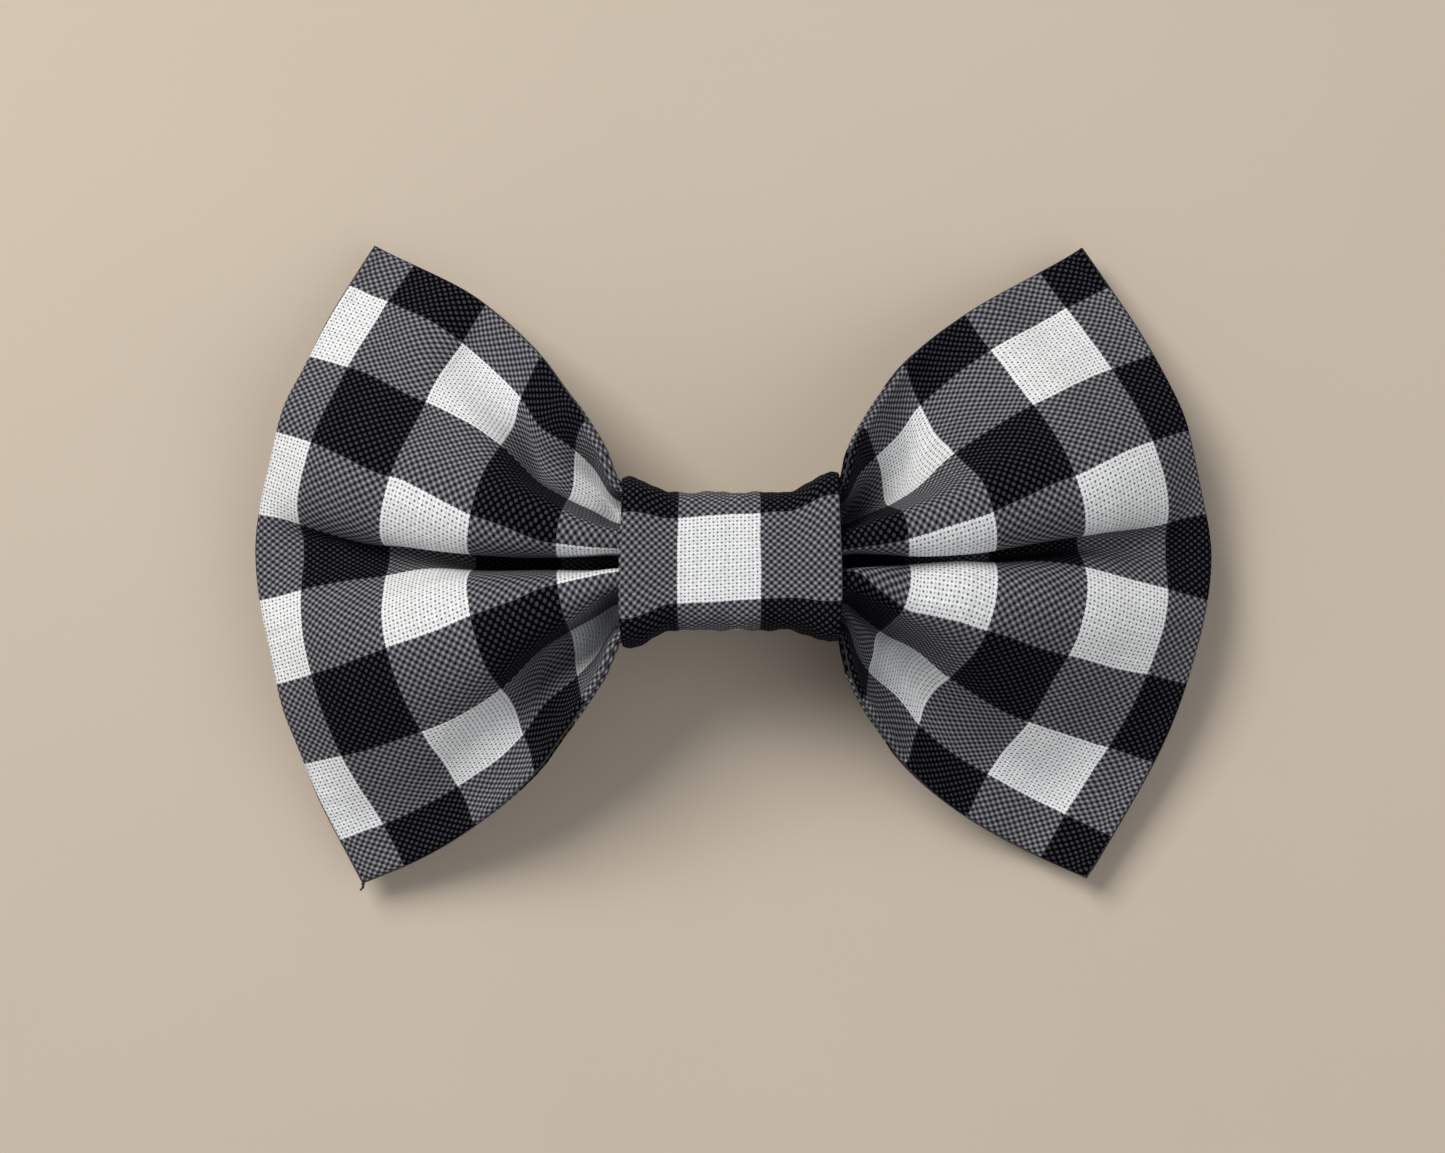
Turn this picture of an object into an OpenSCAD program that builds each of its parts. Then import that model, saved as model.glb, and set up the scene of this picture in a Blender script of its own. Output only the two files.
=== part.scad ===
// Pillow-type fabric hair bow on a single-prong alligator clip.
// Units are millimetres. The bow lies on its back on a table (z = 0):
// +X runs from loop to loop, +Y runs across, +Z points out of the front.

/* [Fabric] */
// Half length of the flat sewn panel, centre to outer seam
panel_half_length = 52.75; // [50:0.25:54]
// Half width of the flat sewn panel, centre crease to seam
panel_half_width = 38.8; // [38:0.1:39.6]
// Thickness of one cotton panel
fabric_t = 0.30; // [0.2:0.02:0.34]
// How far the padding holds the two panels apart inside the loops
puff = 0.70; // [0.3:0.05:1.0]
// Height of the centre crease above the table at the knot
crease_z = 9.6; // [9.6:0.1:11]

/* [Centre knot] */
// Length of the centre wrap along the bow
wrap_w = 23.6; // [20:0.2:24]
// Half width of the wrap's opening at its waist
waist = 6.85; // [6.85:0.05:7.4]
// How much wider the wrap stands at its two ends
flare = 2.3; // [2.2:0.05:2.8]
// Thickness of the folded wrap fabric
wrap_t = 0.50; // [0.3:0.05:0.55]
// Thickness of the stiffener under the wrap
interfacing_t = 0.24; // [0.15:0.01:0.28]
// Diameter of the cinching thread
thread_d = 0.34; // [0.2:0.02:0.36]
// Turns of cinching thread
turns = 5; // [3:1:7]

/* [Clip] */
// Width of the clip's arms
arm_w = 8; // [7:0.25:9]
// Sheet thickness of the clip
metal_t = 0.6; // [0.4:0.05:0.65]
// Distance from the knot's centre to the clip's tip
tip_x = 25; // [20:0.5:28]
// Position of the hinge along the clip
pivot_x = 15.6; // [15:0.1:16]
// Diameter of the hinge pin
pin_d = 1.2; // [1.0:0.05:1.3]
// Running clearance of the pin in the ears, on the radius
pin_gap = 0.03; // [0.01:0.005:0.08]
// Spring wire diameter
wire_d = 0.56; // [0.4:0.02:0.6]
// Thickness of the grosgrain lining on the upper arm
ribbon_t = 0.34; // [0.2:0.02:0.36]

/* [Hidden] */
$fn = 40;
L = panel_half_length;
H = panel_half_width;
upper_z = 7.1;                    // underside of the upper arm
lower_z = 4.1;                    // underside of the lower arm
pivot_z = 5.3;                    // height of the hinge
ribbon_top = upper_z + metal_t + 0.03 + ribbon_t;
black = [0.06, 0.06, 0.08];
check_grey = [0.72, 0.73, 0.75];
steel = [0.75, 0.76, 0.78];

function sm(x) = let(t = max(0, min(1, x))) t * t * (3 - 2 * t);
function unit(a) = a / max(norm(a), 1e-9);

// ---------- the pleated fabric ----------
// Each row is one station along the bow: distance from the centre,
// centre crease height above the knot's, then the three flanks of the pleat as
// slope / turning place / turning length:
// inner flank slope, length of the crease's own turn,
// crest place, crest turn, outer flank slope,
// outer valley place, valley turn, rim flank slope.
PLEAT = [
  [ 0.0,  0.0, 88,  2.0, 14.9,  3.0, 87, 28.0, 3.0,  87],
  [ 6.0,  0.0, 87,  2.0, 14.9,  3.0, 87, 28.0, 3.0,  87],
  [12.5,  0.3, 86,  2.2, 14.7,  3.4, 83, 28.0, 3.0,  80],
  [16.0,  0.8, 86,  2.6, 14.4,  5.5, 81, 28.0, 4.0,  65],
  [20.5,  1.4, 84,  3.2, 13.8,  8.0, 80, 28.5, 5.0,  44],
  [24.5,  1.3, 82,  3.6, 13.5,  9.5, 79, 29.0, 6.0,   8],
  [28.5,  0.6, 80,  4.0, 13.4, 11.0, 62, 29.5, 7.0, -20],
  [38.0, -2.4, 64,  6.0, 13.6, 15.0, 43, 31.0, 8.0, -30],
  [47.6, -4.9, 36,  9.0, 14.6, 19.0, 26, 33.0, 8.0, -22],
  [52.8, -6.3, 12, 12.0, 16.0, 22.0,  7, 35.0, 8.0,  -6]];
function at(p, k) = lookup(p, [for (r = PLEAT) [r[0], r[k]]]);

// The fan: away from the knot the rim falls back towards it.
function fan(p) = p < 11.5 ? 0 : 12.7 * (1 - exp(-pow((p - 11.5) / 12.5, 1.15)));
function slope(p, v) = let(
    a = sm((v - at(p, 4)) / at(p, 5) + 0.5),
    b = sm((v - at(p, 7)) / at(p, 8) + 0.5))
  at(p, 2) * sm(v / at(p, 3)) * (1 - a) - at(p, 6) * a * (1 - b) + at(p, 9) * b;

// One station, walked along the cloth in short equal steps.
STEPS = 96;
function walk(p) = let(
    dv = H / STEPS,
    d = fan(p),
    step = [for (i = [0 : STEPS - 1]) let(
        v = (i + 0.5) * dv,
        g = d * 1.85 * pow(v / H, 0.85) / H,
        c = sqrt(max(0.05, 1 - g * g)),
        s = slope(p, v)) [c * cos(s) * dv, c * sin(s) * dv]])
  [for (i = 0, q = [0, crease_z + at(p, 1)]; i <= STEPS;
        q = i < STEPS ? q + step[i] : q, i = i + 1) q];
function pick(w, v) = let(f = v / H * STEPS, i = min(STEPS - 1, floor(f)), t = f - i)
  w[i] * (1 - t) + w[i + 1] * t;

STATIONS = [0, 6, 10, 12.5, 14.5, 17, 20.5, 24.5, 29, 35, 41.5, 48, L];
ROWS = [0, 0.5, 1.0, 1.5, 2.1, 5.5, 9.5, 13.4, 14.15, 14.9, 15.65, 16.4, 20,
        23.5, 26.5, 27.25, 28, 28.75, 29.5, 32.6, 35.8, H];
nu = len(STATIONS) - 1;
nv = len(ROWS) - 1;
WALKS = [for (p = STATIONS) walk(p)];
function sgn(i) = i < 0 ? -1 : 1;
// Mid surface of the sewn pair, i along the bow and j across it.
MID = [for (i = [-nu : nu]) let(p = STATIONS[abs(i)], w = WALKS[abs(i)])
  [for (j = [-nv : nv]) let(v = ROWS[abs(j)], q = pick(w, v))
    [sgn(i) * (p - fan(p) * pow(v / H, 1.85)), sgn(j) * q[0], q[1]]]];
function mid(i, j) = MID[i + nu][j + nv];
function cl(a, m) = max(-m, min(m, a));
NORMAL = [for (i = [-nu : nu]) [for (j = [-nv : nv])
  unit(cross(mid(cl(i + 1, nu), j) - mid(cl(i - 1, nu), j),
             mid(i, cl(j + 1, nv)) - mid(i, cl(j - 1, nv))))]];
function normal(i, j) = NORMAL[i + nu][j + nv];
// Half gap between the panels: squeezed flat in the knot, closed at the seam.
function half_gap(i, j) = let(p = STATIONS[abs(i)], e = min(L - p, H - ROWS[abs(j)]))
  0.04 + (0.08 + puff * sm((p - 12.5) / 14)) * sm(e / 6);

// A skin of the folded surface between two offsets, a solid with closed edges.
module skin(iu, jv, a, ka, b, kb) {
  nj = 2 * jv + 1;
  ni = 2 * iu + 1;
  pts = concat(
    [for (i = [-iu : iu]) for (j = [-jv : jv]) mid(i, j) + normal(i, j) * (a + ka * half_gap(i, j))],
    [for (i = [-iu : iu]) for (j = [-jv : jv]) mid(i, j) + normal(i, j) * (b + kb * half_gap(i, j))]);
  m = ni * nj;
  function id(i, j) = i * nj + j;
  // quads are cut along mirrored diagonals so the bow stays symmetric
  function cut(i, j, o) = ((i < iu) == (j < jv))
    ? [[o + id(i, j), o + id(i + 1, j), o + id(i + 1, j + 1)], [o + id(i, j), o + id(i + 1, j + 1), o + id(i, j + 1)]]
    : [[o + id(i, j), o + id(i + 1, j), o + id(i, j + 1)], [o + id(i + 1, j), o + id(i + 1, j + 1), o + id(i, j + 1)]];
  function flip(f) = [for (t = f) [t[0], t[2], t[1]]];
  rim = concat([for (j = [0 : nj - 1]) id(0, j)], [for (i = [1 : ni - 1]) id(i, nj - 1)],
               [for (j = [nj - 2 : -1 : 0]) id(ni - 1, j)], [for (i = [ni - 2 : -1 : 1]) id(i, 0)]);
  nr = len(rim);
  faces = concat(
    [for (i = [0 : ni - 2]) for (j = [0 : nj - 2]) for (t = cut(i, j, 0)) t],
    [for (i = [0 : ni - 2]) for (j = [0 : nj - 2]) for (t = flip(cut(i, j, m))) t],
    [for (k = [0 : nr - 1]) let(q = rim[k], r = rim[(k + 1) % nr]) for (t = [[q, r, m + r], [q, m + r, m + q]]) t]);
  polyhedron(points = pts, faces = faces, convexity = 8);
}

// A round cord along a path, sides given; closed paths join up.
module cord(path, d, sides = 6, closed = false) {
  n = len(path);
  function prev(i) = closed ? path[(i + n - 1) % n] : path[max(0, i - 1)];
  function next(i) = closed ? path[(i + 1) % n] : path[min(n - 1, i + 1)];
  tan = [for (i = [0 : n - 1]) unit(next(i) - prev(i))];
  // a frame carried along the path without twisting
  nor = [for (i = 0, u = unit(cross(tan[0], abs(tan[0][0]) < 0.8 ? [1, 0, 0] : [0, 1, 0])); i < n;
          i = i + 1, u = i < n ? unit(u - tan[i] * (u * tan[i])) : u) u];
  pts = [for (i = [0 : n - 1]) for (k = [0 : sides - 1]) let(a = 360 * k / sides, b = cross(tan[i], nor[i]))
          path[i] + (nor[i] * cos(a) + b * sin(a)) * d / 2];
  side = [for (i = [0 : n - 2]) for (k = [0 : sides - 1]) let(l = (k + 1) % sides)
          for (t = [[i * sides + k, (i + 1) * sides + l, i * sides + l], [i * sides + k, (i + 1) * sides + k, (i + 1) * sides + l]]) t];
  // a closed cord's last ring meets the first one with the nearest corner
  s = closed ? let(e = [for (k = [0 : sides - 1]) norm(pts[k] - pts[(n - 1) * sides])],
                   b = min(e)) [for (k = [0 : sides - 1]) if (e[k] == b) k][0] : 0;
  ends = closed
    ? [for (k = [0 : sides - 1]) let(l = (k + 1) % sides)
        for (t = [[(n - 1) * sides + k, (l + s) % sides, (n - 1) * sides + l], [(n - 1) * sides + k, (k + s) % sides, (l + s) % sides]]) t]
    : [[for (k = [0 : sides - 1]) k], [for (k = [sides - 1 : -1 : 0]) (n - 1) * sides + k]];
  polyhedron(points = pts, faces = concat(side, ends), convexity = 8);
}

module front_panel() color(check_grey) skin(nu, nv, 0, 1, fabric_t, 1);
module back_panel() color(check_grey) skin(nu, nv, -fabric_t, -1, 0, -1);
module interlining() color("white") skin(nu - 1, nv - 1, 0.04, -1, -0.04, 1);

// Seam thread lying in the groove between the two panels' edges, and its tail.
module seam_thread() {
  r = 0.12;
  function out(i, j) = let(
      e = i == nu ? unit(mid(nu, j) - mid(nu - 1, j)) : i == -nu ? unit(mid(-nu, j) - mid(1 - nu, j)) : [0, 0, 0],
      f = j == nv ? unit(mid(i, nv) - mid(i, nv - 1)) : j == -nv ? unit(mid(i, -nv) - mid(i, 1 - nv)) : [0, 0, 0])
    mid(i, j) + unit(e + f) * (norm(e + f) > 1.1 ? 1.6 : 1) * (r + 0.05);
  path = concat([for (i = [-nu : nu - 1]) out(i, -nv)], [for (j = [-nv : nv - 1]) out(nu, j)],
                [for (i = [nu : -1 : 1 - nu]) out(i, nv)], [for (j = [nv : -1 : 1 - nv]) out(-nu, j)]);
  color(black) cord(path, 2 * r, 4, closed = true);
}

// ---------- the knot ----------
knot_lo = 6.6;                    // inside bottom of the wrap, under the upper arm
knot_hi = crease_z + 14.7;        // inside top of the wrap
function fl(x) = sm((abs(x) - 6) / 5.7);
// A point of the wrap's cross-section: a box with rounded corners, start at
// the middle of the bottom, a = degrees round, o = outward offset.
function ring(x, a, o) = let(
    hw = waist + flare * fl(x) + o,
    lo = knot_lo - o,
    hi = knot_hi + 0.5 * fl(x) + o,
    hh = (hi - lo) / 2,
    c = sin(a), s = -cos(a),
    n = 5,
    k = 1 / pow(pow(abs(c), n) + pow(abs(s), n), 1 / n))
  [x, hw * c * k, lo + hh + hh * s * k];
// Where the bands round the knot are cut along the bow; the wrap's two ends
// stand past the stiffener's.
stiff_xs = [for (i = [0 : 12]) (wrap_w / 2 - 0.6) * (i / 6 - 1)];
wrap_xs = concat([-wrap_w / 2], stiff_xs, [wrap_w / 2]);
// A band round the knot from angle a0 to a1 in n steps, raised by lift after
// its first turn, between the two offsets t.
module band(xs, a0, a1, n, lift, t) {
  nx = len(xs) - 1;
  m = n + 1;
  function off(a) = lift * sm((a - 305) / 27);
  pts = concat(
    [for (x = xs) for (k = [0 : n]) let(a = a0 + (a1 - a0) * k / n) ring(x, a, t[0] + off(a))],
    [for (x = xs) for (k = [0 : n]) let(a = a0 + (a1 - a0) * k / n) ring(x, a, t[1] + off(a))]);
  b = (nx + 1) * m;
  function q(a, b, c, d) = [[a, b, c], [a, c, d]];
  faces = concat(
    [for (i = [0 : nx - 1]) for (k = [0 : n - 1]) for (f = q(i * m + k, i * m + k + 1, (i + 1) * m + k + 1, (i + 1) * m + k)) f],
    [for (i = [0 : nx - 1]) for (k = [0 : n - 1]) for (f = q(b + i * m + k, b + (i + 1) * m + k, b + (i + 1) * m + k + 1, b + i * m + k + 1)) f],
    [for (k = [0 : n - 1]) for (f = q(k, b + k, b + k + 1, k + 1)) f],
    [for (k = [0 : n - 1]) for (f = q(nx * m + k, nx * m + k + 1, b + nx * m + k + 1, b + nx * m + k)) f],
    [for (i = [0 : nx - 1]) for (f = q(i * m, (i + 1) * m, b + (i + 1) * m, b + i * m)) f],
    [for (i = [0 : nx - 1]) for (f = q(i * m + n, b + i * m + n, b + (i + 1) * m + n, (i + 1) * m + n)) f]);
  polyhedron(points = pts, faces = faces, convexity = 6);
}
module wrap_interfacing() color("white") band(stiff_xs, 6, 351, 46, 0, [0, interfacing_t]);
// The wrap goes once round and its end laps over its start on the back.
module centre_wrap() color(check_grey)
  band(wrap_xs, -24, 396, 56, wrap_t + 0.06, [interfacing_t + 0.04, interfacing_t + 0.04 + wrap_t]);

// Whip stitches holding the lapped end, one continuous thread.
module wrap_stitches() {
  n = 6;
  function s(x, a, o) = ring(x, a, interfacing_t + wrap_t + 0.04 + 0.24 + o);
  path = [for (k = [0 : n - 1]) let(x = -7.5 + k * 2.6)
      each [s(x, 33, 0.1 + wrap_t), s(x, 36.1, 0.16 + wrap_t), s(x + 0.65, 39.5, 0.14), s(x + 1.3, 39.5, 0.14), s(x + 1.95, 36.1, 0.16 + wrap_t)]];
  color("white") cord(path, 0.2, 6);
}

// Cinching thread wound tightly round the pleats, under the wrap.
module cinch_thread() color("white") {
  n = 28;
  path = [for (k = [0 : turns * n]) let(x = (k / n - turns / 2) * (thread_d + 0.08), a = 180 + 360 * k / n,
      hw = waist - thread_d / 2 - 0.05, hi = knot_hi - thread_d / 2 - 0.05, lo = crease_z - 0.47 - thread_d / 2 - 0.02,
      hh = (hi - lo) / 2, c = sin(a), s = -cos(a), g = 1 / pow(pow(abs(c), 5) + pow(abs(s), 5), 1 / 5))
    [x, hw * c * g, lo + hh + hh * s * g]];
  cord(path, thread_d, 6);
}

// Glue between the pleats' backs and the lined arm.
module glue_pad() color([0.9, 0.88, 0.8])
  translate([0, 0, ribbon_top + 0.02]) linear_extrude(crease_z - 0.47 - thread_d - 0.06 - ribbon_top - 0.02)
    intersection() {
      square([21, 6.4], center = true);
      circle(10.8);
    }

// ---------- the clip ----------
module ribbon_lining() color(black) {
  g = 0.03;
  rz = (metal_t + 2 * g) / 2;
  rotate([90, 0, 0]) linear_extrude(arm_w - 1, center = true)
    translate([0, upper_z - g + rz]) union() {
      // over the top of the arm, round the tip, and a short way underneath
      translate([-tip_x, rz]) square([tip_x + 11.5, ribbon_t]);
      translate([-tip_x, -rz - ribbon_t]) square([tip_x - wrap_w / 2 - 0.8, ribbon_t]);
      translate([-tip_x, 0]) difference() {
        circle(rz + ribbon_t);
        circle(rz);
        translate([0, -5]) square([10, 10]);
      }
    }
}

module ear(y, tall_to, foot) {
  // a rounded ear round the pin, joined to its arm
  translate([0, y, 0]) rotate([90, 0, 0]) linear_extrude(metal_t, center = true) difference() {
    union() {
      translate([pivot_x, pivot_z]) circle(1.5);
      polygon([[pivot_x - 1.3, pivot_z], [pivot_x + 1.3, pivot_z], [pivot_x + 1.6 + foot, tall_to], [pivot_x - 1.6 - foot, tall_to]]);
    }
    translate([pivot_x, pivot_z]) circle(pin_d / 2 + pin_gap);
  }
}
// Plan of an arm: straight sides, clipped tip corners, a rounded thumb tab.
module arm_plan(w, tip, clip, end, r) {
  polygon([[-tip, -w / 2 + clip], [-tip + 2 * clip, -w / 2], [end - r, -w / 2], [end - r, w / 2], [-tip + 2 * clip, w / 2], [-tip, w / 2 - clip]]);
  intersection() {
    translate([end - r - 0.5, -w / 2]) square([r + 1, w]);
    translate([end - r, 0]) circle(r);
  }
}
// An arm: its side profile cut to its plan.
module arm(profile, w, tip, clip, end, r) {
  intersection() {
    rotate([90, 0, 0]) linear_extrude(w + 2, center = true) polygon(profile);
    translate([0, 0, -10]) linear_extrude(30) arm_plan(w, tip, clip, end, r);
  }
}

module upper_jaw() color(steel) {
  // the thumb tab rises slightly behind the hinge
  arm([[-30, upper_z], [18.6, upper_z], [30, upper_z + 1.8], [30, upper_z + 1.8 + metal_t], [18.5, upper_z + metal_t], [-30, upper_z + metal_t]],
      arm_w, tip_x - 0.1, 0.9, 24.8, 6);
  for (s = [-1, 1]) ear(s * (arm_w / 2 - metal_t / 2), upper_z + 0.3, 1.0);
}

lower_w = arm_w - 2 * metal_t - 0.6;      // narrower, to sit between the ears
module lower_jaw() color(steel) {
  // the thumb tab falls away from the upper one
  fall = 20.5 * tan(13.8);
  arm([[-30, lower_z], [9.5, lower_z], [30, lower_z - fall], [30, lower_z - fall + metal_t], [9.6, lower_z + metal_t], [-30, lower_z + metal_t]],
      lower_w, tip_x - 0.1, 0.5, 26, 5);
  for (s = [-1, 1]) ear(s * (lower_w / 2 - metal_t / 2), lower_z - 0.9, 0.8);
  // turned-up toothed tip that closes on the lined arm
  tooth = (lower_w - 1.2) / 5;
  translate([-tip_x + 0.1, 0, 0]) rotate([90, 0, 90]) linear_extrude(metal_t) polygon(concat(
    [[-lower_w / 2 + 0.6, lower_z + 0.2]],
    [for (k = [0 : 4]) each [[-lower_w / 2 + 0.6 + tooth * k, upper_z - 1.35], [-lower_w / 2 + 0.6 + tooth * (k + 0.5), upper_z - 0.72]]],
    [[lower_w / 2 - 0.6, upper_z - 1.35], [lower_w / 2 - 0.6, lower_z + 0.2]]));
}

module hinge_pin() color(steel) translate([pivot_x, 0, pivot_z]) rotate([90, 0, 0]) {
  cylinder(d = pin_d, h = arm_w + 0.2, center = true);
  for (s = [-1, 1]) translate([0, 0, s * (arm_w / 2 + 0.25)]) cylinder(d = pin_d + 0.9, h = 0.4, center = true);
}

module torsion_spring() color(steel) {
  coils = 3.5;
  n = 20;
  r = pin_d / 2 + 0.1 + wire_d / 2;
  pitch = wire_d + 0.05;
  w0 = -coils * pitch / 2;
  // legs leave the coil as tangents and press the two tabs apart
  helix = [for (k = [0 : coils * n]) let(a = 90 + 360 * k / n)
    [pivot_x + r * cos(a), w0 + pitch * k / n, pivot_z + r * sin(a)]];
  up = [for (d = [6, 3, 0.6]) [pivot_x + d, w0, pivot_z + r + d * 0.06]];
  dn = [for (d = [0.6, 3, 6]) [pivot_x + d, -w0, pivot_z - r - d * 0.23 + 0.05]];
  cord(concat(up, helix, dn), wire_d, 8);
}

front_panel();
interlining();
back_panel();
seam_thread();
cinch_thread();
wrap_interfacing();
centre_wrap();
wrap_stitches();
glue_pad();
ribbon_lining();
upper_jaw();
hinge_pin();
torsion_spring();
lower_jaw();
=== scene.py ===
"""Looks of the gingham hair bow: pleated cotton panels, centre wrap, threads, clip, stage.

Shapes are worked out in millimetres and turned into metres when a mesh is made.
"""
import math

import bpy
import numpy as np
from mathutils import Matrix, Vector


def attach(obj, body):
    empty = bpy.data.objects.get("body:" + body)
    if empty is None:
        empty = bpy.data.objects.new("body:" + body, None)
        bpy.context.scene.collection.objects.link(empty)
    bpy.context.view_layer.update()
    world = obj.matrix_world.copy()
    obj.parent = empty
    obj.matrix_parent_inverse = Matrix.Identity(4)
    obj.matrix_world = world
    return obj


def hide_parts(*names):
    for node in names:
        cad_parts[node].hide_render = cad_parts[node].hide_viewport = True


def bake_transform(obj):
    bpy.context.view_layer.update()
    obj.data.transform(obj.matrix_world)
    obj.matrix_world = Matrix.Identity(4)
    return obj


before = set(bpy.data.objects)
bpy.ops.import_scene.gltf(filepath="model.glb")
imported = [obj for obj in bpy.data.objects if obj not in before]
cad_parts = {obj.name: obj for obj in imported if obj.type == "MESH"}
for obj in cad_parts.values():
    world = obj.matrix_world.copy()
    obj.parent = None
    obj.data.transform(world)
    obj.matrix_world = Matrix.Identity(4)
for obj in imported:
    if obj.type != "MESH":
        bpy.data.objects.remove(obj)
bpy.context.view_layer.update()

MM = 0.001
CHECK = 9.525                          # one check of the panels
HALF_L, HALF_H = 52.75, 38.8           # half length and half width of the flat sewn panel
FABRIC = 0.30                          # cloth thickness


# ------------------------------------------------------------------ helpers
def smooth(x):
    x = np.clip(x, 0, 1)
    return x * x * (3 - 2 * x)


def pchip(xk, yk, x):
    """Monotone cubic through the keys, level at the first one."""
    xk, yk = np.asarray(xk, float), np.asarray(yk, float)
    h, d = np.diff(xk), np.diff(yk) / np.diff(xk)
    m = np.zeros_like(yk)
    for i in range(1, len(xk) - 1):
        if d[i - 1] * d[i] > 0:
            a, b = 2 * h[i] + h[i - 1], h[i] + 2 * h[i - 1]
            m[i] = (a + b) / (a / d[i - 1] + b / d[i])
    m[-1] = d[-1]
    x = np.clip(x, xk[0], xk[-1])
    i = np.clip(np.searchsorted(xk, x) - 1, 0, len(xk) - 2)
    t = (x - xk[i]) / h[i]
    return (yk[i] * (1 + 2 * t) * (1 - t) ** 2 + h[i] * m[i] * t * (1 - t) ** 2
            + yk[i + 1] * t * t * (3 - 2 * t) + h[i] * m[i + 1] * t * t * (t - 1))


def cubic(grid, at, axis):
    """Resample a regular grid at fractional rows with a cubic through its points."""
    g = np.moveaxis(grid, axis, 0)
    i = np.clip(np.floor(at).astype(int), 0, len(g) - 2)
    t = (at - i).reshape((-1,) + (1,) * (g.ndim - 1))
    pad = np.concatenate([2 * g[:1] - g[1:2], g, 2 * g[-1:] - g[-2:-1]])
    a, b, c, d = pad[i], pad[i + 1], pad[i + 2], pad[i + 3]
    out = b + 0.5 * t * (c - a + t * (2 * a - 5 * b + 4 * c - d + t * (3 * (b - c) + d - a)))
    return np.moveaxis(out, 0, axis)


def normals(P):
    n = np.cross(np.gradient(P, axis=0), np.gradient(P, axis=1))
    return n / (np.linalg.norm(n, axis=-1, keepdims=True) + 1e-12)


def run_length(points):
    """Distance along a line of points, from its first one."""
    return np.concatenate([[0], np.cumsum(np.linalg.norm(np.diff(points, axis=0), axis=1))])


def mesh_object(name, verts, faces, uvs=None, material=None):
    """verts in mm; uvs one pair per vertex, in mm of cloth."""
    me = bpy.data.meshes.new(name)
    me.from_pydata((np.asarray(verts) * MM).tolist(), [], faces)
    if uvs is not None:
        layer = me.uv_layers.new(name="cloth")
        loops = np.empty(len(me.loops), int)
        me.loops.foreach_get("vertex_index", loops)
        layer.data.foreach_set("uv", np.asarray(uvs)[loops].astype(np.float32).ravel())
    me.polygons.foreach_set("use_smooth", [True] * len(me.polygons))
    me.update()
    ob = bpy.data.objects.new(name, me)
    bpy.context.scene.collection.objects.link(ob)
    if material:
        me.materials.append(material)
    return ob


def grid_faces(n, m, first=0, flip=False):
    """Quads of an n by m grid of points that starts at point first."""
    i, j = np.meshgrid(np.arange(n - 1), np.arange(m - 1), indexing="ij")
    a = (first + i * m + j).ravel()
    f = np.stack([a, a + m, a + m + 1, a + 1], 1)
    return (f[:, ::-1] if flip else f).tolist()


def rim_cells(n, m):
    """The outermost points of an n by m grid, in order round it."""
    rim = [(0, j) for j in range(m)]
    rim += [(i, m - 1) for i in range(1, n)]
    rim += [(n - 1, j) for j in range(m - 2, -1, -1)]
    rim += [(i, 0) for i in range(n - 2, 0, -1)]
    return rim


def closed_skin(outer, inner):
    """Points and faces of a thin solid between two like grids."""
    n, m = outer.shape[:2]
    k = n * m
    r = np.array([i * m + j for i, j in rim_cells(n, m)])
    s = np.roll(r, -1)
    side = np.stack([r, s, s + k, r + k], 1).tolist()
    return (np.concatenate([outer.reshape(-1, 3), inner.reshape(-1, 3)]),
            grid_faces(n, m) + grid_faces(n, m, k, True) + side)


def tube(path, radius, sides=8, closed=False):
    """A round cord along path (mm), carried without twisting; returns points, faces."""
    P = np.asarray(path, float)
    n = len(P)
    T = (np.roll(P, -1, 0) - np.roll(P, 1, 0)) if closed else np.gradient(P, axis=0)
    T /= np.linalg.norm(T, axis=1, keepdims=True)
    u = np.cross(T[0], [0.3, 0.9, 0.2])
    u /= np.linalg.norm(u)
    R = np.broadcast_to(radius, (n,))
    a = np.arange(sides) * 2 * math.pi / sides
    pts = []
    for i in range(n):
        u = u - T[i] * (u @ T[i])
        u /= np.linalg.norm(u)
        w = np.cross(T[i], u)
        pts.append(P[i] + R[i] * (np.outer(np.cos(a), u) + np.outer(np.sin(a), w)))
    pts = np.concatenate(pts)
    last = (n - 1) * sides
    faces = []
    for i in range(0, last, sides):
        for k in range(sides):
            nxt = (k + 1) % sides
            faces.append([i + k, i + nxt, i + sides + nxt, i + sides + k])
    if closed:
        # the end meets the start at the nearest of its sides
        s = int(np.argmin(np.linalg.norm(pts[:sides] - pts[last], axis=1)))
        for k in range(sides):
            faces.append([last + k, last + (k + 1) % sides, (k + 1 + s) % sides, (k + s) % sides])
    else:
        faces += [list(range(sides))[::-1], [last + k for k in range(sides)]]
    return pts, faces


def tube_uv(distance, sides):
    """Along the cord in mm, and once round it."""
    return np.stack([np.repeat(distance, sides), np.tile(np.arange(sides) / sides, len(distance))], 1)


def dress(piece, node):
    """The piece rides on the bow and stands for a CAD node."""
    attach(piece, "bow")
    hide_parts(node)


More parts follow.
